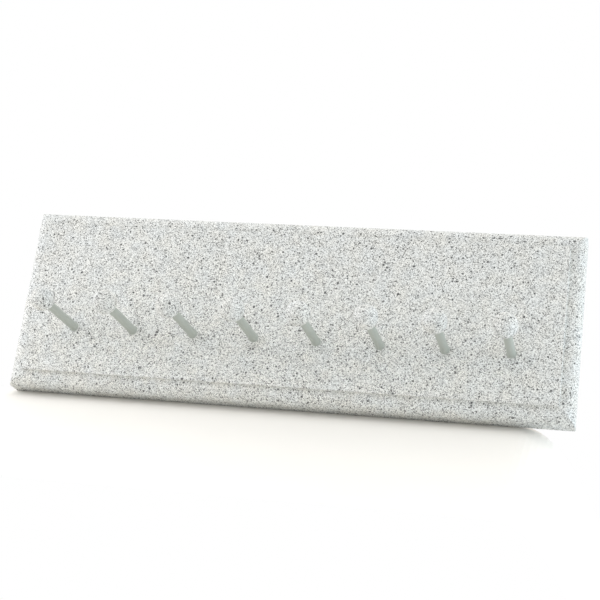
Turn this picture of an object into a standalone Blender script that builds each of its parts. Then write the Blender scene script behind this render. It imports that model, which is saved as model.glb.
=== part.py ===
"""A wall peg rack: a moulded board with a row of pegs, hung from two keyhole plates let into its back.

Frame: +X runs along the board, +Z is up as it hangs, and the pegs point towards -Y. The back face of the
board lies on the plane y = 0, and the origin is the middle of that face. All lengths are metres.
"""

import math

import bmesh
import bpy

# The board.
BOARD_LENGTH = 0.4572
BOARD_HEIGHT = 0.1524
BOARD_THICKNESS = 0.0254

# The moulding round the front: a raised field, a small step down, a narrow flat, then a rounded edge.
STEP_DEPTH = 0.0032
FLAT_WIDTH = 0.0027
ROUNDOVER_RADIUS = 0.0095
ARRIS = 0.0005

# The row of pegs, spread evenly between the two end pegs.
PEG_COUNT = 8
PEG_END_MARGIN = 0.0508
PEG_ROW_HEIGHT = 0.0508

# A peg: a dowel glued into the board, with a drilled ball glued on its end. The ball has a small flat where
# it is drilled, which leaves a ring of this width round the bore.
DOWEL_DIAMETER = 0.0070
DOWEL_CHAMFER = 0.0006
SOCKET_DEPTH = 0.0160
KNOB_DIAMETER = 0.01905
KNOB_REACH = 0.0686
KNOB_BORE_DEPTH = 0.0095
KNOB_FLAT_RING = 0.0011

# A hanger: a keyhole plate, screwed flush into a recess in the back of the board. Its outline follows from
# the steel that is left: beside the entry hole, between that hole and a screw's head, and beyond the head.
# The head's cone sits in the plate, with some steel left under it as its seat. Behind the plate lies a pocket
# for the head of the wall's screw, wider than the entry hole by a margin on each side.
HANGER_END_MARGIN = 0.0254
HANGER_TOP_MARGIN = 0.0400
PLATE_THICKNESS = 0.0024
ENTRY_DIAMETER = 0.0095
SLOT_WIDTH = 0.0050
SLOT_TRAVEL = 0.0110
PLATE_SIDE_WALL = 0.00325
KEYHOLE_WEB = 0.00325
PLATE_END_WALL = 0.00175
PLATE_SEAT = 0.00035
POCKET_MARGIN = 0.00145
POCKET_DEPTH = 0.0070

# A countersunk wood screw of a hanger.
SCREW_LENGTH = 0.0127
SCREW_DIAMETER = 0.0035
SCREW_HEAD_DIAMETER = 0.0070
SCREW_HEAD_RIM = 0.0003
SCREW_POINT = 0.0028
DRIVE_SPAN = 0.0040
DRIVE_WIDTH = 0.0009
DRIVE_DEPTH = 0.0012
DRIVE_TURN = math.radians(20)

# The gap that is left between pieces that fit into each other, and how far a cutter runs past a face.
FIT_GAP = 0.0003
CUTTER_OVERRUN = 0.0020

# How finely round shapes are divided.
ROUNDOVER_SEGMENTS = 7
ARRIS_SEGMENTS = 2
DOWEL_STEPS = 20
KNOB_STEPS = 28
KNOB_RINGS = 12
SCREW_STEPS = 20
ARC_POINTS = 12
SHARP_ANGLE = math.radians(35)
SEAM_DISTANCE = 1e-5
WELD_DISTANCE = 1e-6
CIRCULAR = 0.5

FACE_Y = -BOARD_THICKNESS
POINTS_OUT = (math.radians(90), 0, 0)
POINTS_BACK = (math.radians(-90), 0, 0)


def clear_scene():
    """Removes whatever the new scene starts with."""
    for leftover in list(bpy.data.objects):
        bpy.data.objects.remove(leftover, do_unlink=True)


def new_collection(name):
    """A collection linked to the scene."""
    made = bpy.data.collections.new(name)
    bpy.context.scene.collection.children.link(made)
    return made


def new_material(name, color, roughness, metallic=0.0):
    """A plain finish for one sub-part."""
    material = bpy.data.materials.new(name)
    material.use_nodes = True
    shader = material.node_tree.nodes["Principled BSDF"]
    shader.inputs["Base Color"].default_value = (*color, 1.0)
    shader.inputs["Roughness"].default_value = roughness
    shader.inputs["Metallic"].default_value = metallic
    material.diffuse_color = (*color, 1.0)
    return material


def place(name, mesh, location=(0, 0, 0), rotation=(0, 0, 0), material=None):
    """Puts one named sub-part into the rack's collection."""
    piece = bpy.data.objects.new(name, mesh)
    piece.location = location
    piece.rotation_euler = rotation
    if material and not mesh.materials:
        mesh.materials.append(material)
    rack.objects.link(piece)
    return piece


def place_cutter(name, mesh, location, rotation=(0, 0, 0)):
    """Puts a cutting tool, which is not a part of the rack, into the cutters' collection."""
    tool = bpy.data.objects.new(name, mesh)
    tool.location = location
    tool.rotation_euler = rotation
    tool.hide_render = True
    tool.display_type = "WIRE"
    cutters.objects.link(tool)
    return tool


def cut(piece, tool):
    """Takes the tool's shape out of the piece."""
    boolean = piece.modifiers.new(tool.name, "BOOLEAN")
    boolean.operation = "DIFFERENCE"
    boolean.solver = "EXACT"
    boolean.object = tool


def settled_mesh(source, name):
    """The evaluated mesh of a scratch object, welded and shaded, with the scratch object removed."""
    cutters.objects.link(source)
    graph = bpy.context.evaluated_depsgraph_get()
    mesh = bpy.data.meshes.new_from_object(source.evaluated_get(graph))
    bpy.data.objects.remove(source, do_unlink=True)
    welded = bmesh.new()
    welded.from_mesh(mesh)
    bmesh.ops.remove_doubles(welded, verts=welded.verts, dist=WELD_DISTANCE)
    welded.to_mesh(mesh)
    welded.free()
    mesh.name = name
    mesh.shade_smooth()
    mesh.set_sharp_from_angle(angle=SHARP_ANGLE)
    return mesh


def turned_mesh(name, profile, steps):
    """A profile of (radius, height) points, from the top down its outer side, turned about Z."""
    line = bpy.data.meshes.new(name)
    points = [(radius, 0, height) for radius, height in profile]
    line.from_pydata(points, [(i, i + 1) for i in range(len(points) - 1)], [])
    source = bpy.data.objects.new(name, line)
    turn = source.modifiers.new("turn", "SCREW")
    turn.axis = "Z"
    turn.steps = steps
    turn.render_steps = steps
    turn.use_merge_vertices = True
    turn.merge_threshold = SEAM_DISTANCE
    return settled_mesh(source, name)


def flat_mesh(name, outlines, thickness):
    """Closed outlines in the XY plane, the later ones cut as holes, made a plate centred on z = 0."""
    curve = bpy.data.curves.new(name, "CURVE")
    curve.dimensions = "2D"
    curve.fill_mode = "BOTH"
    curve.extrude = thickness / 2
    for outline in outlines:
        spline = curve.splines.new("POLY")
        spline.points.add(len(outline) - 1)
        for point, (x, y) in zip(spline.points, outline):
            point.co = (x, y, 0, 1)
        spline.use_cyclic_u = True
    return settled_mesh(bpy.data.objects.new(name, curve), name)


def arc(center_y, radius, start, end, points=ARC_POINTS):
    """Points on a circle about (0, center_y), from one angle to another, in degrees from +X."""
    angles = [math.radians(start + (end - start) * i / points) for i in range(points + 1)]
    return [(radius * math.cos(a), center_y + radius * math.sin(a)) for a in angles]


def slot_outline(low_y, high_y, width):
    """A slot with round ends, whose end circles are centred at low_y and high_y."""
    return arc(high_y, width / 2, 0, 180) + arc(low_y, width / 2, 180, 360)


def keyhole_outline(entry_y, travel, entry_diameter, slot_width):
    """A round entry hole with a narrower slot that runs up from it by the travel."""
    mouth = math.degrees(math.acos(slot_width / entry_diameter))
    entry = arc(entry_y, entry_diameter / 2, 180 - mouth, 360 + mouth, 2 * ARC_POINTS)
    return entry + arc(entry_y + travel, slot_width / 2, 0, 180)


def cylinder_profile(radius, low, high):
    """The profile of a plain cylinder."""
    return [(0, high), (radius, high), (radius, low), (0, low)]


def board_mesh():
    """A box, rounded over along its four front edges, with a raised field left inside a narrow flat."""
    body_depth = BOARD_THICKNESS - STEP_DEPTH
    box = bmesh.new()
    bmesh.ops.create_cube(box, size=1.0)
    bmesh.ops.scale(box, vec=(BOARD_LENGTH, body_depth, BOARD_HEIGHT), verts=box.verts)
    bmesh.ops.translate(box, vec=(0, -body_depth / 2, 0), verts=box.verts)

    def edges_in_plane(y):
        """Edges whose two ends lie in the plane at y."""
        return [e for e in box.edges if all(abs(v.co.y - y) < ARRIS / 10 for v in e.verts)]

    back_edges = edges_in_plane(0)
    bmesh.ops.bevel(
        box,
        geom=edges_in_plane(-body_depth),
        offset=ROUNDOVER_RADIUS,
        segments=ROUNDOVER_SEGMENTS,
        profile=CIRCULAR,
        affect="EDGES",
    )
    small = {"offset": ARRIS, "segments": ARRIS_SEGMENTS, "profile": CIRCULAR, "affect": "EDGES"}
    bmesh.ops.bevel(box, geom=back_edges, **small)
    front = min(box.faces, key=lambda face: face.calc_center_median().y)
    bmesh.ops.inset_region(box, faces=[front], thickness=FLAT_WIDTH, use_even_offset=True)
    bmesh.ops.inset_region(box, faces=[front], thickness=0, depth=STEP_DEPTH)
    bmesh.ops.bevel(box, geom=list(front.edges), **small)
    mesh = bpy.data.meshes.new("board")
    box.to_mesh(mesh)
    box.free()
    mesh.shade_smooth()
    mesh.set_sharp_from_angle(angle=SHARP_ANGLE)
    return mesh


def dowel_mesh():
    """A straight dowel with chamfered ends, from the floor of its socket to the floor of the knob's bore."""
    radius = DOWEL_DIAMETER / 2
    low = FIT_GAP - SOCKET_DEPTH
    high = KNOB_REACH - knob_flat_height() + KNOB_BORE_DEPTH - FIT_GAP
    profile = [
        (0, high),
        (radius - DOWEL_CHAMFER, high),
        (radius, high - DOWEL_CHAMFER),
        (radius, low + DOWEL_CHAMFER),
        (radius - DOWEL_CHAMFER, low),
        (0, low),
    ]
    return turned_mesh("dowel", profile, DOWEL_STEPS)


def knob_flat_height():
    """How far the small flat that the bore is drilled in lies from the centre of the ball."""
    flat_radius = bore_radius + KNOB_FLAT_RING
    return math.sqrt((KNOB_DIAMETER / 2) ** 2 - flat_radius**2)


def knob_mesh():
    """A ball with a flat on its lower side and a blind bore up from that flat."""
    radius = KNOB_DIAMETER / 2
    flat_z = -knob_flat_height()
    flat_angle = math.acos(flat_z / radius)
    ball = []
    for ring in range(KNOB_RINGS + 1):
        angle = flat_angle * ring / KNOB_RINGS
        ball.append((radius * math.sin(angle), radius * math.cos(angle)))
    bore = [(bore_radius, flat_z), (bore_radius, flat_z + KNOB_BORE_DEPTH), (0, flat_z + KNOB_BORE_DEPTH)]
    return turned_mesh("knob", ball + bore, KNOB_STEPS)


def screw_profile(grow, top, length):
    """A countersunk screw from its head's flat top down to its point, all round larger by grow."""
    head_radius = SCREW_HEAD_DIAMETER / 2 + grow
    shank_radius = SCREW_DIAMETER / 2 + grow
    cone_depth = PLATE_THICKNESS - SCREW_HEAD_RIM - PLATE_SEAT
    return [
        (0, top),
        (head_radius, top),
        (head_radius, -SCREW_HEAD_RIM),
        (shank_radius, -SCREW_HEAD_RIM - cone_depth),
        (shank_radius, SCREW_POINT - length),
        (0, -length),
    ]


def drive_slot_mesh():
    """One arm pair of the cross that the screwdriver fits."""
    height = DRIVE_DEPTH + CUTTER_OVERRUN
    bar = bmesh.new()
    bmesh.ops.create_cube(bar, size=1.0)
    bmesh.ops.scale(bar, vec=(DRIVE_SPAN, height, DRIVE_WIDTH), verts=bar.verts)
    bmesh.ops.translate(bar, vec=(0, height / 2 - DRIVE_DEPTH, 0), verts=bar.verts)
    mesh = bpy.data.meshes.new("drive")
    bar.to_mesh(mesh)
    bar.free()
    return mesh


def add_hanger(side, x, board):
    """One keyhole plate with its recess, its pocket and its two screws."""
    z = BOARD_HEIGHT / 2 - HANGER_TOP_MARGIN
    entry_y = -SLOT_TRAVEL / 2
    screw_offset = (SLOT_TRAVEL + ENTRY_DIAMETER + SCREW_HEAD_DIAMETER) / 2 + KEYHOLE_WEB
    plate_width = ENTRY_DIAMETER + 2 * PLATE_SIDE_WALL
    end_circle = screw_offset + SCREW_HEAD_DIAMETER / 2 + PLATE_END_WALL - plate_width / 2
    plate_outline = slot_outline(-end_circle, end_circle, plate_width)
    keyhole = keyhole_outline(entry_y, SLOT_TRAVEL, ENTRY_DIAMETER, SLOT_WIDTH)
    plate_mesh = flat_mesh("hanger_plate", [plate_outline, keyhole], PLATE_THICKNESS)
    plate_y = -PLATE_THICKNESS / 2
    plate = place("hanger_plate_" + side, plate_mesh, (x, plate_y, z), POINTS_OUT, plate_steel)

    recess_depth = PLATE_THICKNESS + FIT_GAP
    recess_outline = slot_outline(-end_circle, end_circle, plate_width + 2 * FIT_GAP)
    recess_mesh = flat_mesh("recess", [recess_outline], recess_depth + CUTTER_OVERRUN)
    recess_y = (CUTTER_OVERRUN - recess_depth) / 2
    cut(board, place_cutter("recess_" + side, recess_mesh, (x, recess_y, z), POINTS_OUT))

    pocket_outline = slot_outline(entry_y, entry_y + SLOT_TRAVEL, ENTRY_DIAMETER + 2 * POCKET_MARGIN)
    pocket_depth = recess_depth + POCKET_DEPTH
    pocket_mesh = flat_mesh("pocket", [pocket_outline], pocket_depth + CUTTER_OVERRUN)
    pocket_y = (CUTTER_OVERRUN - pocket_depth) / 2
    cut(board, place_cutter("pocket_" + side, pocket_mesh, (x, pocket_y, z), POINTS_OUT))

    for end, sign in (("upper", 1), ("lower", -1)):
        label = side + "_" + end
        spot = (x, 0, z + sign * screw_offset)
        hole = place_cutter("screw_hole_" + label, screw_hole_mesh, spot, POINTS_BACK)
        cut(plate, hole)
        cut(board, hole)
        screw = place("hanger_screw_" + label, screw_mesh.copy(), spot, POINTS_BACK, screw_steel)
        for arm, turn in (("first", DRIVE_TURN), ("second", DRIVE_TURN + math.pi / 2)):
            cut(screw, place_cutter("drive_%s_%s" % (label, arm), drive_mesh, spot, (0, turn, 0)))


clear_scene()
rack = new_collection("wall_peg_rack")
cutters = new_collection("cutters")

stone_finish = new_material("granite_fleck_finish", (0.66, 0.67, 0.65), 0.6)
dowel_finish = new_material("grey_green_paint", (0.36, 0.39, 0.35), 0.5)
plate_steel = new_material("zinc_plated_steel", (0.62, 0.63, 0.64), 0.35, 1.0)
screw_steel = new_material("screw_steel", (0.72, 0.72, 0.70), 0.3, 1.0)

# The board, with a socket for each dowel. Sockets and the knobs' bores are drilled to the same width.
bore_radius = DOWEL_DIAMETER / 2 + FIT_GAP
board = place("board", board_mesh(), material=stone_finish)
row_z = PEG_ROW_HEIGHT - BOARD_HEIGHT / 2
first_x = PEG_END_MARGIN - BOARD_LENGTH / 2
spacing = (BOARD_LENGTH - 2 * PEG_END_MARGIN) / (PEG_COUNT - 1)
socket_mesh = turned_mesh("socket", cylinder_profile(bore_radius, -SOCKET_DEPTH, CUTTER_OVERRUN), DOWEL_STEPS)
dowels = dowel_mesh()
knobs = knob_mesh()
for peg in range(PEG_COUNT):
    spot = (first_x + peg * spacing, FACE_Y, row_z)
    knob_spot = (spot[0], FACE_Y - KNOB_REACH, row_z)
    number = str(peg + 1)
    cut(board, place_cutter("socket_" + number, socket_mesh, spot, POINTS_OUT))
    place("peg_shaft_" + number, dowels, spot, POINTS_OUT, dowel_finish)
    place("knob_" + number, knobs, knob_spot, POINTS_OUT, stone_finish)

# The hangers, each set in by the same distance from its end of the board.
drive_mesh = drive_slot_mesh()
screw_mesh = turned_mesh("hanger_screw", screw_profile(0, 0, SCREW_LENGTH), SCREW_STEPS)
hole_profile = screw_profile(FIT_GAP, CUTTER_OVERRUN, SCREW_LENGTH + FIT_GAP)
screw_hole_mesh = turned_mesh("screw_hole", hole_profile, SCREW_STEPS)
hanger_x = BOARD_LENGTH / 2 - HANGER_END_MARGIN
add_hanger("left", -hanger_x, board)
add_hanger("right", hanger_x, board)
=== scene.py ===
"""The looks of a wall peg rack: a moulded board and ball-ended pegs in a sprayed granite-fleck finish.

Frame: +X runs along the board, +Z is up as it hangs, the pegs point towards -Y and the back lies on y = 0.
All lengths are metres.
"""

import math
import bmesh
import bpy
import numpy as np
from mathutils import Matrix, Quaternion, Vector


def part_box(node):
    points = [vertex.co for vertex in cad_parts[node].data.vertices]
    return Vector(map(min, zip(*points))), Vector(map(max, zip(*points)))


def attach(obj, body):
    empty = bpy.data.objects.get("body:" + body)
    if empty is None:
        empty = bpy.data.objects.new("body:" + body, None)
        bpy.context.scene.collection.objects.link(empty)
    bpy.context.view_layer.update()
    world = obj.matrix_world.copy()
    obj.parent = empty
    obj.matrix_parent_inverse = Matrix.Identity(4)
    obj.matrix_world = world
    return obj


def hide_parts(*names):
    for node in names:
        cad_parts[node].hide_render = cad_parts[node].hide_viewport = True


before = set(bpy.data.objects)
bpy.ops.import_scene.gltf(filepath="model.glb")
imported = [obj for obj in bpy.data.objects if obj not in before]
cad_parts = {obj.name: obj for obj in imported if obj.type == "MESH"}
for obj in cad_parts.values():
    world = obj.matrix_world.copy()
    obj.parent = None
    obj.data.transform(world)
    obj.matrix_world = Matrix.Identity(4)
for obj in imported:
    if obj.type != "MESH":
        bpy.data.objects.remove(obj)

MM = 0.001

# The section of the moulding: a raised field, a step down, a narrow flat, a quarter round, a straight side.
STEP_INSET = 12.2 * MM
STEP_DEPTH = 3.2 * MM
ROUNDOVER_RADIUS = 9.5 * MM
SOFT_ARRIS = 0.5 * MM
STEP_FILLET = 0.3 * MM
CORNER_RADIUS = 1.0 * MM

# How finely the board is divided, and half the side of the square round each peg's socket.
GRID_STEP = 1.25 * MM
PEG_SQUARE = 6.25 * MM

# A socket with a small arc for its rim. A dowel sits in it, and in its knob, with this gap all round.
FIT_GAP = 0.3 * MM
SOCKET_DEPTH = 16.0 * MM
RIM_RADIUS = 0.25 * MM

# A hanger's pocket, for the head of the wall screw, and its pilot holes, which end in a cone. What cuts them
# runs past the back, and has this many points round a slot's end or a pilot hole.
POCKET_RADIUS = 6.2 * MM
POCKET_HALF_RUN = 5.5 * MM
POCKET_DEPTH = 9.7 * MM
PILOT_RADIUS = 2.05 * MM
PILOT_POINT = 2.8 * MM
OVERRUN = 2.0 * MM
SLOT_COLUMNS = 25
PILOT_COLUMNS = 40

# A dowel: its chamfered ends, and the foot of paint on the board, which is sunk a little into the face and
# runs back to the dowel at its root.
DOWEL_CHAMFER = 0.6 * MM
PAINT_FOOT = 0.6 * MM
FOOT_SINK = 0.05 * MM
FOOT_ROOT = 0.4 * MM
DOWEL_ROWS = 40
DOWEL_COLUMNS = 48

# A knob: its coat creeps down the dowel in a small arc, and stands off the dowel by less than can be seen.
COAT_CREEP = 0.8 * MM
COAT_GAP = 0.02 * MM
KNOB_ROWS = 46
KNOB_COLUMNS = 84

# How near points are that are sewn together, and how far faces turn at an edge that stays sharp.
SEW_DISTANCE = 0.001 * MM
SHARP_ANGLE = math.radians(40)

# The unevenness of each coat: its depth, its longest and shortest wave, and where its random draws start.
BOARD_COAT = {"depth": 0.06 * MM, "longest": 14 * MM, "shortest": 3 * MM}
DOWEL_COAT = {"depth": 0.03 * MM, "longest": 20 * MM, "shortest": 4 * MM}
KNOB_COAT = {"depth": 0.09 * MM, "longest": 6 * MM, "shortest": 1.6 * MM}
BOARD_SEED = 11
DOWEL_SEED = 40
KNOB_SEED = 70

# The coat lies on the sides, which are a skin of this depth, and in front, as far back as the flat. Its
# relief ends just before the back. Bare wood is the back and all that is cut into it, down to the tips of
# the pilot holes.
SIDE_SKIN = 1.0 * MM
FRONT_REACH = 4.0 * MM
RELIEF_END = 0.3 * MM
BACK_SKIN = 0.15 * MM
CUT_REACH = 13.5 * MM

# The granite finish, with its cells counted per metre. A speck is as large as this share of a cell at most,
# and the power makes large ones rare. Overspray fades out over its reach.
CHIP_CELLS = 1750
GRAIN_CELLS = 2300
SPECK_CELLS = 460
SPECK_SIZE = 0.46
SPECK_RARITY = 6.0
SPECK_DARKNESS = 0.88
DOWEL_OVERSPRAY = 2.2 * MM
BACK_OVERSPRAY = 9.0 * MM

# The broken edges of the steel: how near its points are welded, the edges' widths, and how far faces turn at
# an edge that is broken.
WELD_DISTANCE = 0.005 * MM
SCREW_EDGE = 0.12 * MM
PLATE_EDGE = 0.25 * MM
EDGE_ANGLE = math.radians(35)

# The floor, and a strip of white card that slopes down towards the front from the board's back edge. The
# right end of the card falls away past the bend.
FLOOR_Z = -0.75
FLOOR_HALF = 1.6
CARD_LEFT = -0.30
CARD_RIGHT = 0.27
CARD_LENGTH = 0.20
CARD_BACK = 0.004
CARD_LIFT = 0.19 * MM
CARD_SLOPE = math.radians(31)
CARD_BEND = 0.187
CARD_DROP = 18.0
CARD_COLUMNS = 120
CARD_ROWS = 24

# The light tent's even strength, and the share of each direction's part that is added to it. In front, on
# the left and below, that part is negative.
TENT_EVEN = 1.16
TENT_ABOVE = 0.02
TENT_BELOW = 0.70
TENT_BEHIND = 0.22
TENT_RIGHT = 0.12

# The camera looks up at the board from below its right half, and leans a little.
CAMERA_PLACE = Vector((0.272501, -1.070428, -0.342214))
CAMERA_AIM = Vector((0.00817, -0.0254, 0.00806))
CAMERA_ROLL = math.radians(7.65)
CAMERA_LENS = 85.67
CAMERA_SENSOR = 36.0

# What the CAD pieces give.
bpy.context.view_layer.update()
board_low, board_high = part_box("board")
half_length = (board_high.x - board_low.x) / 2
half_height = (board_high.z - board_low.z) / 2
thickness = board_high.y - board_low.y
peg_numbers = range(1, 1 + sum(name.startswith("peg_shaft_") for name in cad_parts))
shafts = {number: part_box("peg_shaft_%d" % number) for number in peg_numbers}
shaft_middles = {number: (low + high) / 2 for number, (low, high) in shafts.items()}
shaft_radius = (shafts[1][1].x - shafts[1][0].x) / 2
socket_radius = shaft_radius + FIT_GAP


def joined(blocks):
    """One list of points and one of faces out of several (points, faces) blocks."""
    points = np.concatenate([block[0].reshape(-1, 3) for block in blocks])
    starts = np.cumsum([0] + [block[0].reshape(-1, 3).shape[0] for block in blocks])
    faces = [(block[1] + start).tolist() for block, start in zip(blocks, starts)]
    return points, [face for group in faces for face in group]


def grid_faces(rows, columns, closed=False):
    """The four-sided faces between neighbouring points of a grid that is stored row by row."""
    row = np.arange(rows - 1)[:, None] * columns
    column = np.arange(columns if closed else columns - 1)[None, :]
    after = (column + 1) % columns
    corners = [row + column, row + after, row + columns + after, row + columns + column]
    return np.stack(corners, axis=-1).reshape(-1, 4)


def solid_mesh(name, blocks, caps=()):
    """A mesh of the blocks and of caps, which are faces by their points' numbers, with the shared edges sewn
    together and every face pointing outwards."""
    points, faces = joined(blocks)
    mesh = bpy.data.meshes.new(name)
    mesh.from_pydata(points.tolist(), [], faces + list(caps))
    sewn = bmesh.new()
    sewn.from_mesh(mesh)
    bmesh.ops.remove_doubles(sewn, verts=sewn.verts, dist=SEW_DISTANCE)
    bmesh.ops.recalc_face_normals(sewn, faces=sewn.faces)
    sewn.to_mesh(mesh)
    sewn.free()
    return mesh


def finished(name, mesh, materials, node):
    """The piece made of the mesh: smooth but for its sharp edges, and standing for one CAD node."""
    mesh.shade_smooth()
    mesh.set_sharp_from_angle(angle=SHARP_ANGLE)
    for material in materials:
        mesh.materials.append(material)
    piece = bpy.data.objects.new(name, mesh)
    bpy.context.scene.collection.objects.link(piece)
    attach(piece, "root")
    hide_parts(node)


def unevenness(points, seed, longest, shortest, waves=28):
    """A smooth random field between 0 and 1: a half, plus 0.35 times the sum of sine waves in random
    directions over the square root of their number. Their lengths lie between the longest and the shortest."""
    chance = np.random.default_rng(seed)
    directions = chance.normal(size=(waves, 3))
    directions /= np.linalg.norm(directions, axis=1, keepdims=True)
    lengths = np.geomspace(longest, shortest, waves)
    phases = points @ (directions * (2 * np.pi / lengths[:, None])).T + chance.uniform(0, 2 * np.pi, waves)
    field = np.sin(phases).sum(axis=1) / math.sqrt(waves)
    return np.clip(0.5 + 0.35 * field, 0, 1)


def press_in(mesh, seed, coat, where=None):
    """Moves every point inwards along its normal, by the coat's depth times the unevenness at that point."""
    points = np.empty(len(mesh.vertices) * 3)
    mesh.vertices.foreach_get("co", points)
    points = points.reshape(-1, 3)
    normals = np.empty(points.size, np.float32)
    mesh.vertex_normals.foreach_get("vector", normals)
    amount = coat["depth"] * unevenness(points, seed, coat["longest"], coat["shortest"])
    if where is not None:
        amount = amount * where(points)
    points -= normals.reshape(-1, 3) * amount[:, None]
    mesh.vertices.foreach_set("co", points.ravel())
    mesh.update()


def bend(inset, forward, radius, start, end, points):
    """Points of an arc about (inset, forward), between two angles in degrees from the inset's direction."""
    angle = np.radians(np.linspace(start, end, points))
    return np.stack([inset + radius * np.cos(angle), forward + radius * np.sin(angle)], axis=1)


def turned_points(section, middle, columns):
    """A section of (radius, distance along Y) turned about the Y axis through the middle."""
    angle = np.linspace(0, 2 * np.pi, columns, endpoint=False)[None, :]
    radius = section[:, 0][:, None]
    x = middle.x + radius * np.cos(angle)
    z = middle.z + radius * np.sin(angle)
    y = np.broadcast_to(section[:, 1][:, None], x.shape)
    points = np.stack([x, y, z], axis=-1)
    return points, grid_faces(points.shape[0], columns, closed=True)


def moulding_section():
    """(inset from the outline, distance forward of the back) down the moulding: a soft arris on the raised
    field, the step's wall with a fillet at its foot, the flat, the quarter round, the side, and the back."""
    flat = thickness - STEP_DEPTH
    side = flat - ROUNDOVER_RADIUS
    arris = bend(STEP_INSET + SOFT_ARRIS, thickness - SOFT_ARRIS, SOFT_ARRIS, 90, 180, points=6)
    foot = bend(STEP_INSET - STEP_FILLET, flat + STEP_FILLET, STEP_FILLET, 0, -90, points=5)
    round_over = bend(ROUNDOVER_RADIUS, side, ROUNDOVER_RADIUS, 90, 180, points=16)
    back = bend(SOFT_ARRIS, SOFT_ARRIS, SOFT_ARRIS, 180, 270, points=5)
    down = np.linspace(side, SOFT_ARRIS, 10)[1:-1]
    straight = np.stack([np.zeros_like(down), down], axis=1)
    middle = np.array([[(foot[-1, 0] + ROUNDOVER_RADIUS) / 2, flat]])
    return np.concatenate([arris, foot, middle, round_over, straight, back])


def even_lines(stops):
    """Grid lines through all the stops, in even steps of about GRID_STEP between each two."""
    parts = []
    for low, high in zip(stops[:-1], stops[1:]):
        parts.append(np.linspace(low, high, max(1, round((high - low) / GRID_STEP)) + 1)[:-1])
    return np.concatenate(parts + [[stops[-1]]])


def moulding_ring(x_lines, z_lines, section):
    """The section carried round the board. Each point of the way round is a share of the straight sides plus
    an outward direction; at inset d it lies at share * (half size - d - r) + direction * r, where the corner
    radius r is the outline's less d, and never below zero."""
    x_share = x_lines / x_lines[-1]
    z_share = z_lines / z_lines[-1]
    turn = np.radians(np.linspace(0, 90, 5)[1:-1])
    sides = []
    for quarter, share in enumerate([x_share, z_share, -x_share[::-1], -z_share[::-1]]):
        one = np.ones_like(share)
        ahead = np.stack([share, -one, 0 * one, -one], axis=1)
        corner = np.stack([1 + 0 * turn, -1 + 0 * turn, np.sin(turn), -np.cos(turn)], axis=1)
        run = np.concatenate([ahead, corner])
        cosine, sine = [(1, 0), (0, 1), (-1, 0), (0, -1)][quarter]
        turned = np.empty_like(run)
        for first in (0, 2):
            turned[:, first] = run[:, first] * cosine - run[:, first + 1] * sine
            turned[:, first + 1] = run[:, first] * sine + run[:, first + 1] * cosine
        sides.append(turned)
    way = np.concatenate(sides)[None, :, :]
    inset = section[:, 0][:, None]
    radius = np.maximum(CORNER_RADIUS - inset, 0)
    x = (half_length - inset - radius) * way[..., 0] + radius * way[..., 2]
    z = (half_height - inset - radius) * way[..., 1] + radius * way[..., 3]
    y = np.broadcast_to(-section[:, 1][:, None], x.shape)
    points = np.stack([x, y, z], axis=-1)
    return points, grid_faces(points.shape[0], points.shape[1], closed=True)


def raised_field(x_lines, z_lines):
    """A flat grid in the plane of the board's face, left open in a square about each peg."""
    x, z = np.meshgrid(x_lines, z_lines, indexing="ij")
    points = np.stack([x, np.full_like(x, -thickness), z], axis=-1)
    faces = grid_faces(len(x_lines), len(z_lines))
    middles = points.reshape(-1, 3)[faces].mean(axis=1)
    solid = np.ones(len(faces), bool)
    for hole in shaft_middles.values():
        solid &= np.abs(middles[:, [0, 2]] - [hole.x, hole.z]).max(axis=1) > PEG_SQUARE
    return points, faces[solid]


def socket(hole, x_lines, z_lines):
    """A square that closes to a round socket. Rows run from the square's edge to the rim in even shares,
    over the rim's small arc, down the wall, and to the middle of the floor; columns follow the board's grid
    lines that cross the square."""
    reach = PEG_SQUARE + GRID_STEP / 3
    near_x = x_lines[np.abs(x_lines - hole.x) < reach] - hole.x
    near_z = z_lines[np.abs(z_lines - hole.z) < reach] - hole.z
    edge = np.concatenate([
        np.stack([near_x, np.full_like(near_x, near_z[0])], axis=1)[:-1],
        np.stack([np.full_like(near_z, near_x[-1]), near_z], axis=1)[:-1],
        np.stack([near_x[::-1], np.full_like(near_x, near_z[-1])], axis=1)[:-1],
        np.stack([np.full_like(near_z, near_x[0]), near_z[::-1]], axis=1)[:-1],
    ])
    outward = edge / np.linalg.norm(edge, axis=1, keepdims=True)
    share = np.linspace(0, 1, 5)[:, None, None]
    sheet = edge * (1 - share) + outward * (socket_radius + RIM_RADIUS) * share
    rim = bend(socket_radius + RIM_RADIUS, -RIM_RADIUS, RIM_RADIUS, 90, 180, points=4)[1:]
    wall = np.array([[socket_radius, -SOCKET_DEPTH / 2], [socket_radius, -SOCKET_DEPTH], [0, -SOCKET_DEPTH]])
    turned = np.concatenate([rim, wall])
    across = np.concatenate([sheet, outward * turned[:, 0][:, None, None]])
    depth = np.concatenate([np.zeros(len(sheet)), turned[:, 1]])[:, None] * np.ones(len(edge))
    points = np.stack([hole.x + across[..., 0], -thickness - depth, hole.z + across[..., 1]], axis=-1)
    return points, grid_faces(points.shape[0], points.shape[1], closed=True)


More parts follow.
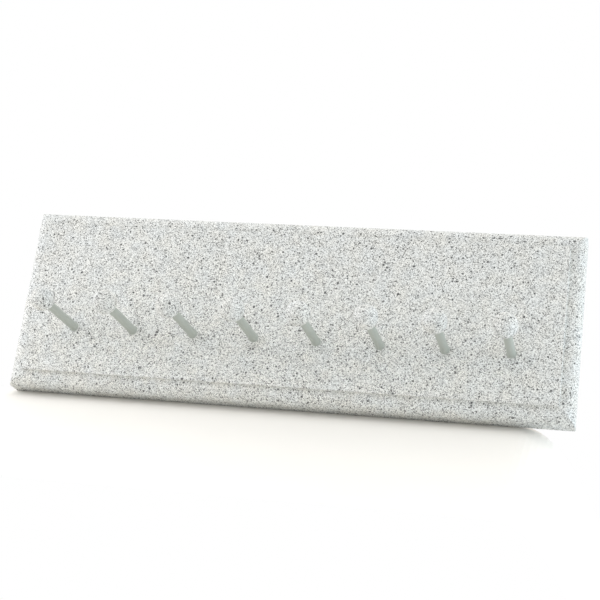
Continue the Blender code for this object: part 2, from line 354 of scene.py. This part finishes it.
def uncut_board():
    """The board with its sockets and a plain back. Its grid lines pass through the sides of every square
    about a peg, and its back is the last row of the moulding's ring, filled."""
    field_length = half_length - STEP_INSET - SOFT_ARRIS
    field_height = half_height - STEP_INSET - SOFT_ARRIS
    x_stops = [-field_length]
    for hole in shaft_middles.values():
        x_stops += [hole.x - PEG_SQUARE, hole.x + PEG_SQUARE]
    row_z = shaft_middles[1].z
    x_lines = even_lines(x_stops + [field_length])
    z_lines = even_lines([-field_height, row_z - PEG_SQUARE, row_z + PEG_SQUARE, field_height])
    ring = moulding_ring(x_lines, z_lines, moulding_section())
    rows, columns = ring[0].shape[:2]
    back = range((rows - 1) * columns, rows * columns)
    sockets = [socket(hole, x_lines, z_lines) for hole in shaft_middles.values()]
    return solid_mesh("granite_board", [ring, raised_field(x_lines, z_lines)] + sockets, [list(back)])


def rounded_slot(middle, half_run, radius, front):
    """A prism from the front to past the back, whose outline is a slot with round ends: an upper and a lower
    half circle, each the half run away from the middle."""
    upper = np.linspace(0, np.pi, SLOT_COLUMNS)
    angle = np.concatenate([upper, upper + np.pi])
    x = middle.x + radius * np.cos(angle)
    z = middle.z + radius * np.sin(angle) + np.repeat([half_run, -half_run], SLOT_COLUMNS)
    rings = [np.stack([x, np.full_like(x, y), z], axis=1) for y in (front, OVERRUN)]
    count = len(angle)
    caps = [list(range(count)), list(range(count, 2 * count))]
    return solid_mesh("slot", [(np.concatenate(rings), grid_faces(2, count, closed=True))], caps)


def pilot_hole(low, high):
    """What a screw's pilot hole takes out of the board: a straight hole with a conical end."""
    tip = low.y - FIT_GAP
    section = np.array([[0, tip], [PILOT_RADIUS, tip + PILOT_POINT], [PILOT_RADIUS, OVERRUN], [0, OVERRUN]])
    return solid_mesh("pilot", [turned_points(section, (low + high) / 2, PILOT_COLUMNS)])


def hanger_cuts():
    """What is cut from the back for each hanger: its plate's recess, the pocket, and two pilot holes."""
    tools = []
    for side in ("left", "right"):
        low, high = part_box("hanger_plate_" + side)
        middle = (low + high) / 2
        radius = (high.x - low.x) / 2
        half_run = (high.z - low.z) / 2 - radius
        tools.append(rounded_slot(middle, half_run, radius + FIT_GAP, low.y - FIT_GAP))
        tools.append(rounded_slot(middle, POCKET_HALF_RUN, POCKET_RADIUS, -POCKET_DEPTH))
        for end in ("upper", "lower"):
            tools.append(pilot_hole(*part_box("hanger_screw_%s_%s" % (side, end))))
    return tools


def cut_away(mesh, tools):
    """The mesh with the tools' shapes cut out of it."""
    body = bpy.data.objects.new("uncut", mesh)
    bpy.context.scene.collection.objects.link(body)
    cutters = []
    for tool in tools:
        cutter = bpy.data.objects.new("cutter", tool)
        bpy.context.scene.collection.objects.link(cutter)
        cut = body.modifiers.new("cut", "BOOLEAN")
        cut.operation = "DIFFERENCE"
        cut.solver = "EXACT"
        cut.object = cutter
        cutters.append(cutter)
    graph = bpy.context.evaluated_depsgraph_get()
    result = bpy.data.meshes.new_from_object(body.evaluated_get(graph))
    for leftover in [body] + cutters:
        bpy.data.objects.remove(leftover, do_unlink=True)
    return result


def on_sides(points):
    """Whether each point lies on the board's sides, less than SIDE_SKIN inside its outline."""
    from_end = half_length - np.abs(points[:, 0])
    from_edge = half_height - np.abs(points[:, 2])
    return np.minimum(from_end, from_edge) < SIDE_SKIN


def on_coat(points):
    """1 on the coated front and sides, and 0 on the back and inside the board."""
    in_front = points[:, 1] < -thickness + FRONT_REACH
    return ((on_sides(points) | in_front) & (points[:, 1] < -RELIEF_END)).astype(float)


def on_bare_wood(points):
    """Whether each point lies on the back, or on what is cut into it."""
    return (points[:, 1] > -BACK_SKIN) | (~on_sides(points) & (points[:, 1] > -CUT_REACH))


def granite_board(granite, wood):
    """The board, coated in front and on its sides, with bare wood behind."""
    mesh = cut_away(uncut_board(), hanger_cuts())
    press_in(mesh, BOARD_SEED, BOARD_COAT, on_coat)
    middles = np.empty(len(mesh.polygons) * 3)
    mesh.polygons.foreach_get("center", middles)
    bare = on_bare_wood(middles.reshape(-1, 3))
    mesh.polygons.foreach_set("material_index", bare.astype(np.int32))
    finished("granite_board", mesh, [granite, wood], "board")


def painted_peg(number, paint):
    """A painted dowel: its section runs from the chamfer in the knob, along the dowel, out over the quarter
    circle of the paint's foot, and back to the dowel and the chamfer in the socket."""
    low, high = shafts[number]
    face = board_low.y
    along = np.linspace(low.y + DOWEL_CHAMFER, face - PAINT_FOOT, DOWEL_ROWS)
    foot = bend(shaft_radius + PAINT_FOOT, face + FOOT_SINK - PAINT_FOOT, PAINT_FOOT, 180, 90, points=6)
    section = np.concatenate([
        [[0, low.y], [shaft_radius - DOWEL_CHAMFER, low.y]],
        np.stack([np.full_like(along, shaft_radius), along], axis=1),
        foot[1:],
        [[shaft_radius, face + FOOT_ROOT], [shaft_radius, high.y - DOWEL_CHAMFER]],
        [[shaft_radius - DOWEL_CHAMFER, high.y], [0, high.y]],
    ])
    name = "painted_peg_%d" % number
    mesh = solid_mesh(name, [turned_points(section, shaft_middles[number], DOWEL_COLUMNS)])
    press_in(mesh, DOWEL_SEED + number, DOWEL_COAT)
    finished(name, mesh, [paint], "peg_shaft_%d" % number)


def granite_knob(number, granite):
    """A coated ball: its section runs round the ball to the small flat, along the coat's arc down the dowel,
    and back up the bore to its floor."""
    low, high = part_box("knob_%d" % number)
    radius = (high.x - low.x) / 2
    centre = low.y + radius
    angle = np.linspace(math.pi, math.acos((high.y - centre) / radius), KNOB_ROWS)
    ball = np.stack([radius * np.sin(angle), centre + radius * np.cos(angle)], axis=1)
    inner = shaft_radius + COAT_GAP
    creep = bend(inner + COAT_CREEP, high.y + COAT_CREEP, COAT_CREEP, 270, 180, points=6)
    floor = shafts[number][0].y - FIT_GAP
    bore = [[inner, high.y + COAT_GAP], [socket_radius, high.y], [socket_radius, floor], [0, floor]]
    section = np.concatenate([ball, creep, bore])
    name = "granite_knob_%d" % number
    mesh = solid_mesh(name, [turned_points(section, shaft_middles[number], KNOB_COLUMNS)])
    press_in(mesh, KNOB_SEED + number, KNOB_COAT)
    finished(name, mesh, [granite], "knob_%d" % number)


def break_edges(node, steel, width):
    """Gives a CAD piece of the hangers its steel, and breaks its edges by the width."""
    node.data.materials.clear()
    node.data.materials.append(steel)
    weld = node.modifiers.new("weld", "WELD")
    weld.merge_threshold = WELD_DISTANCE
    broken = node.modifiers.new("broken_edge", "BEVEL")
    broken.width = width
    broken.segments = 2
    broken.limit_method = "ANGLE"
    broken.angle_limit = EDGE_ANGLE


class Nodes:
    """The nodes of a material or a world."""

    def __init__(self, owner):
        owner.use_nodes = True
        self.tree = owner.node_tree

    def add(self, kind, inputs=None, **settings):
        """A node of this kind, with its settings made and its inputs filled by name or number."""
        node = self.tree.nodes.new(kind)
        for key, value in settings.items():
            setattr(node, key, value)
        for key, value in (inputs or {}).items():
            self.fill(node.inputs[key], value)
        return node

    def fill(self, socket, value):
        """Sets a socket to a value, or links it to another node's output."""
        if isinstance(value, bpy.types.NodeSocket):
            self.tree.links.new(value, socket)
        else:
            socket.default_value = value

    def math(self, operation, *values, clamp=False):
        """The result of one operation."""
        inputs = dict(enumerate(values))
        return self.add("ShaderNodeMath", inputs, operation=operation, use_clamp=clamp).outputs[0]

    def axes(self, vector):
        """The X, Y and Z of a vector."""
        return self.add("ShaderNodeSeparateXYZ", {0: vector}).outputs


class Recipe(Nodes):
    """A material and its nodes, which read the place on the piece."""

    def __init__(self, name):
        self.material = bpy.data.materials.new(name)
        super().__init__(self.material)
        self.shader = self.tree.nodes["Principled BSDF"]
        self.place = self.add("ShaderNodeTexCoord").outputs["Object"]

    def noise(self, scale, detail=2.0, roughness=0.5, place=None):
        """Soft noise between 0 and 1."""
        inputs = {"Vector": place or self.place, "Scale": scale, "Detail": detail, "Roughness": roughness}
        return self.add("ShaderNodeTexNoise", inputs).outputs

    def cells(self, scale, place=None):
        """Random cells: a distance from each middle and a random colour."""
        inputs = {"Vector": place or self.place, "Scale": scale}
        return self.add("ShaderNodeTexVoronoi", inputs, feature="F1").outputs

    def parts(self, color):
        """The red, green and blue of a colour."""
        return self.add("ShaderNodeSeparateColor", {0: color}).outputs

    def steps(self, value, stops, interpolation="CONSTANT"):
        """The colour that the value falls on in a row of (start, colour) stops."""
        node = self.add("ShaderNodeValToRGB", {"Fac": value})
        ramp = node.color_ramp
        ramp.interpolation = interpolation
        while len(ramp.elements) < len(stops):
            ramp.elements.new(1.0)
        for element, (start, color) in zip(ramp.elements, stops):
            element.position = start
            element.color = (*color, 1.0)
        return node.outputs["Color"]

    def blend(self, share, first, second, how="MIX"):
        """The first colour changed into the second by the share."""
        inputs = {0: share, 6: first, 7: second}
        return self.add("ShaderNodeMix", inputs, data_type="RGBA", blend_type=how).outputs[2]

    def between(self, share, low, high):
        """A value between low and high, by the share."""
        return self.math("MULTIPLY_ADD", share, high - low, low)

    def weighed(self, first, first_weight, second, second_weight):
        """The sum of two values, each times its weight."""
        first_part = self.math("MULTIPLY", first, first_weight)
        second_part = self.math("MULTIPLY", second, second_weight)
        return self.math("ADD", first_part, second_part)

    def stretched(self, scales):
        """The place, with each axis scaled."""
        return self.add("ShaderNodeMapping", {"Vector": self.place, "Scale": scales}).outputs[0]

    def scattered(self, scale, reach):
        """The place, moved about by noise, so that cells lose their straight sides."""
        color = self.noise(scale)["Color"]
        centred = self.add("ShaderNodeVectorMath", {0: color, 1: (0.5, 0.5, 0.5)}, operation="SUBTRACT")
        moved = self.add("ShaderNodeVectorMath", {0: centred.outputs[0], "Scale": reach}, operation="SCALE")
        return self.add("ShaderNodeVectorMath", {0: moved.outputs[0], 1: self.place}).outputs[0]

    def finish(self, color, roughness, height=None, depth=0.0, strength=1.0):
        """Gives the shader its colour, its roughness, and a relief of this depth where there is a height."""
        self.fill(self.shader.inputs["Base Color"], color)
        self.fill(self.shader.inputs["Roughness"], roughness)
        if height is not None:
            inputs = {"Height": height, "Distance": depth, "Strength": strength}
            bump = self.add("ShaderNodeBump", inputs).outputs["Normal"]
            self.fill(self.shader.inputs["Normal"], bump)
        return self.material


def grey(level, warmth=0.0):
    """A grey of this level, with red raised and blue lowered by the warmth."""
    return (level * (1 + warmth), level, level * (1 - warmth))


def fleck_color(recipe):
    """The sprayed granite finish: a field of small chips whose level is picked at random, finer grains over
    them, scattered dark specks, and a slow tint. Returns its colour, and its relief between 0 and 1."""
    place = recipe.scattered(900, 0.5 * MM)
    pick = recipe.parts(recipe.cells(CHIP_CELLS, place)["Color"])
    base = recipe.steps(pick[0], [
        (0.00, grey(0.05)),
        (0.045, grey(0.18)),
        (0.11, grey(0.38)),
        (0.24, grey(0.60)),
        (0.46, grey(0.76)),
        (0.78, grey(0.90)),
    ])
    fine = recipe.parts(recipe.cells(GRAIN_CELLS)["Color"])
    grain = recipe.steps(fine[1], [(0.0, grey(0.55)), (0.2, grey(0.85)), (0.55, grey(1.0))], "LINEAR")
    color = recipe.blend(0.6, base, grain, "MULTIPLY")
    specks = recipe.cells(SPECK_CELLS, place)
    chance = recipe.math("POWER", recipe.parts(specks["Color"])[2], SPECK_RARITY)
    dark = recipe.math("LESS_THAN", specks["Distance"], recipe.math("MULTIPLY", chance, SPECK_SIZE))
    color = recipe.blend(recipe.math("MULTIPLY", dark, SPECK_DARKNESS), color, (*grey(0.045, -0.03), 1.0))
    cloud = recipe.noise(75)["Fac"]
    tint = recipe.steps(cloud, [(0.3, (0.962, 0.986, 0.964)), (0.7, (0.998, 0.994, 0.934))], "LINEAR")
    color = recipe.blend(1.0, color, tint, "MULTIPLY")
    lumps = recipe.noise(1300, 3, 0.6)["Fac"]
    return color, recipe.weighed(pick[1], 0.5, lumps, 0.5)


def granite_finish():
    """Matt stone spray, patchy in how smooth it is."""
    recipe = Recipe("sprayed_granite")
    color, relief = fleck_color(recipe)
    roughness = recipe.between(recipe.noise(60)["Fac"], 0.5, 0.75)
    return recipe.finish(color, roughness, relief, depth=0.12 * MM, strength=0.6)


def dowel_paint(neck_y):
    """Satin grey-green paint, with faint streaks along the dowel and granite overspray next to the knob."""
    recipe = Recipe("grey_green_paint")
    streaks = recipe.noise(1.0, 3, place=recipe.stretched((420, 18, 420)))["Fac"]
    base = recipe.steps(streaks, [(0.3, (0.368, 0.394, 0.352)), (0.7, (0.424, 0.450, 0.408))], "LINEAR")
    past_neck = recipe.math("SUBTRACT", neck_y, recipe.axes(recipe.place)[1])
    near = recipe.math("ADD", recipe.math("DIVIDE", past_neck, DOWEL_OVERSPRAY), 1.0, clamp=True)
    ragged = recipe.noise(1500)["Fac"]
    spray = recipe.math("GREATER_THAN", recipe.math("MULTIPLY", near, 0.9), ragged)
    fleck, relief = fleck_color(recipe)
    color = recipe.blend(spray, base, fleck)
    fine = recipe.noise(1.0, 3, place=recipe.stretched((1400, 120, 1400)))["Fac"]
    height = recipe.weighed(fine, 0.3, spray, relief)
    return recipe.finish(color, recipe.between(streaks, 0.38, 0.58), height, depth=0.05 * MM, strength=0.5)


def bare_wood():
    """Planed pale wood with its grain along the board, and granite overspray that fades from the outline."""
    recipe = Recipe("bare_wood_back")
    slow = recipe.noise(1.0, 4, 0.6, recipe.stretched((2.6, 45, 65)))["Fac"]
    rings = recipe.math("FRACT", recipe.math("MULTIPLY", slow, 9.0))
    band = recipe.steps(rings, [
        (0.0, (0.48, 0.33, 0.19)),
        (0.55, (0.56, 0.41, 0.25)),
        (0.9, (0.38, 0.24, 0.12)),
        (1.0, (0.48, 0.33, 0.19)),
    ], "LINEAR")
    fibres = recipe.noise(1.0, 3, 0.6, recipe.stretched((35, 900, 1400)))["Fac"]
    shade = recipe.steps(fibres, [(0.25, grey(0.72)), (0.6, grey(1.0))], "LINEAR")
    wood = recipe.blend(0.7, band, shade, "MULTIPLY")
    axes = recipe.axes(recipe.place)
    from_end = recipe.math("SUBTRACT", half_length, recipe.math("ABSOLUTE", axes[0]))
    from_edge = recipe.math("SUBTRACT", half_height, recipe.math("ABSOLUTE", axes[2]))
    inset = recipe.math("MINIMUM", from_end, from_edge)
    fade = recipe.math("SUBTRACT", 1.0, recipe.math("DIVIDE", inset, BACK_OVERSPRAY), clamp=True)
    ragged = recipe.noise(700, 3)["Fac"]
    spray = recipe.math("GREATER_THAN", recipe.math("MULTIPLY", fade, fade), ragged)
    fleck, relief = fleck_color(recipe)
    color = recipe.blend(spray, wood, fleck)
    height = recipe.weighed(fibres, 0.6, spray, relief)
    return recipe.finish(color, recipe.between(fibres, 0.55, 0.75), height, depth=0.08 * MM, strength=0.5)


def plated_steel(name, color, spangle, roughness):
    """Zinc-plated steel: cloudy crystals in the colour, and fine scratches in the roughness and relief."""
    recipe = Recipe(name)
    crystals = recipe.parts(recipe.cells(spangle)["Color"])[0]
    clouds = recipe.noise(300, 3)["Fac"]
    darker = tuple(part * 0.78 for part in color)
    base = recipe.steps(recipe.weighed(crystals, 0.5, clouds, 0.5), [(0.2, darker), (0.8, color)], "LINEAR")
    scratches = recipe.noise(1.0, 4, 0.7, recipe.stretched((900, 900, 60)))["Fac"]
    rough = recipe.between(scratches, roughness, roughness + 0.25)
    recipe.shader.inputs["Metallic"].default_value = 1.0
    return recipe.finish(base, rough, scratches, depth=0.02 * MM, strength=0.4)


def stage_material(name, color):
    """A matt pale surface with a trace of mottling, and clear when seen from its back."""
    recipe = Recipe(name)
    soft = recipe.noise(6, 3)["Fac"]
    lighter = tuple(min(1.0, part * 1.03) for part in color)
    tone = recipe.steps(soft, [(0.3, color), (0.7, lighter)], "LINEAR")
    behind = recipe.add("ShaderNodeNewGeometry").outputs["Backfacing"]
    clear = recipe.add("ShaderNodeBsdfTransparent").outputs[0]
    one_sided = recipe.add("ShaderNodeMixShader", {0: behind, 1: recipe.shader.outputs[0], 2: clear})
    recipe.fill(recipe.tree.nodes["Material Output"].inputs["Surface"], one_sided.outputs[0])
    return recipe.finish(tone, 0.9)


def set_out(name, points, faces, material):
    """Puts a surface of the stage into the scene."""
    mesh = bpy.data.meshes.new(name)
    mesh.from_pydata(points, [], faces)
    mesh.materials.append(material)
    surface = bpy.data.objects.new(name, mesh)
    bpy.context.scene.collection.objects.link(surface)


def pale_floor():
    """A square floor far below the board, as under a wall."""
    corners = [(-1, -1), (1, -1), (1, 1), (-1, 1)]
    points = [(x * FLOOR_HALF, y * FLOOR_HALF, FLOOR_Z) for x, y in corners]
    set_out("floor", points, [(0, 1, 2, 3)], stage_material("pale_floor", (0.62, 0.62, 0.62)))


def white_card():
    """A card on a grid of X and of the way down its slope. It is lifted to touch the rounded back arris, and
    its right end falls by CARD_DROP times the square of the distance past the bend."""
    along = np.linspace(CARD_LEFT, CARD_RIGHT, CARD_COLUMNS)
    down = np.linspace(-CARD_BACK, CARD_LENGTH, CARD_ROWS)
    x, way = np.meshgrid(along, down, indexing="ij")
    fall = CARD_DROP * np.maximum(x - CARD_BEND, 0) ** 2
    z = board_low.z + CARD_LIFT - way * math.sin(CARD_SLOPE) - fall
    points = np.stack([x, -way * math.cos(CARD_SLOPE), z], axis=-1).reshape(-1, 3)
    faces = grid_faces(CARD_COLUMNS, CARD_ROWS)
    set_out("white_card", points.tolist(), faces.tolist(), stage_material("white_card", (0.85, 0.83, 0.785)))


def light_tent():
    """A white surround, whose light is an even strength plus each direction's part times its share. Seen
    directly, it is plain white."""
    world = bpy.data.worlds.new("light_tent")
    bpy.context.scene.world = world
    tent = Nodes(world)
    background = tent.tree.nodes["Background"]
    background.inputs["Color"].default_value = (1.0, 1.0, 1.0, 1.0)
    direction = tent.axes(tent.add("ShaderNodeTexCoord").outputs["Generated"])
    up = tent.math("MAXIMUM", direction[2], 0.0)
    down = tent.math("MINIMUM", direction[2], 0.0)
    shares = [(up, TENT_ABOVE), (down, TENT_BELOW), (direction[1], TENT_BEHIND), (direction[0], TENT_RIGHT)]
    light = TENT_EVEN
    for part, share in shares:
        light = tent.math("MULTIPLY_ADD", part, share, light)
    seen = tent.add("ShaderNodeLightPath").outputs["Is Camera Ray"]
    strength = tent.add("ShaderNodeMix", {0: seen, 2: light, 3: 1.0})
    tent.fill(background.inputs["Strength"], strength.outputs[0])


def softbox(name, place, aim, size, power, color=(1.0, 1.0, 1.0)):
    """A square area light at the place, turned towards the aim."""
    light = bpy.data.lights.new(name, "AREA")
    light.shape = "SQUARE"
    light.size = size
    light.energy = power
    light.color = color
    lamp = bpy.data.objects.new(name, light)
    lamp.location = place
    lamp.rotation_euler = (Vector(aim) - Vector(place)).to_track_quat("-Z", "Y").to_euler()
    lamp.visible_camera = False
    bpy.context.scene.collection.objects.link(lamp)


def leaning_camera():
    """The camera at its place, turned towards its aim and rolled about its line of sight."""
    camera = bpy.data.objects.new("camera", bpy.data.cameras.new("camera"))
    camera.data.lens = CAMERA_LENS
    camera.data.sensor_width = CAMERA_SENSOR
    camera.location = CAMERA_PLACE
    looking = (CAMERA_AIM - CAMERA_PLACE).to_track_quat("-Z", "Y")
    camera.rotation_euler = (looking @ Quaternion((0, 0, 1), CAMERA_ROLL)).to_euler()
    bpy.context.scene.collection.objects.link(camera)
    return camera


# The rack.
granite = granite_finish()
paint = dowel_paint(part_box("knob_1")[1].y)
granite_board(granite, bare_wood())
for number in peg_numbers:
    painted_peg(number, paint)
    granite_knob(number, granite)

# The steel of the hangers keeps its CAD shape, with the edges just broken.
plate_steel = plated_steel("zinc_plated_steel", (0.66, 0.68, 0.70), 260, 0.30)
screw_steel = plated_steel("screw_steel", (0.78, 0.74, 0.62), 900, 0.24)
for name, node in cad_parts.items():
    if name.startswith("hanger_plate"):
        break_edges(node, plate_steel, PLATE_EDGE)
    elif name.startswith("hanger_screw"):
        break_edges(node, screw_steel, SCREW_EDGE)

# The stage and its light.
pale_floor()
white_card()
light_tent()
softbox("softbox_above", (-0.2, -0.7, 1.2), (0, 0, 0), 1.0, 1.6)
softbox("softbox_left", (-1.1, -0.4, 0.2), (-0.2, 0, 0), 0.9, 6.3, (0.95, 0.95, 1.0))
softbox("softbox_right", (1.3, -0.1, -0.1), (0, 0, 0), 1.0, 5.8, (0.66, 0.85, 1.0))

# Without the denoiser's prefilter the smallest flecks stay crisp.
scene = bpy.context.scene
scene.view_settings.view_transform = "Standard"
scene.view_settings.look = "None"
scene.cycles.denoising_prefilter = "NONE"
scene.camera = leaning_camera()
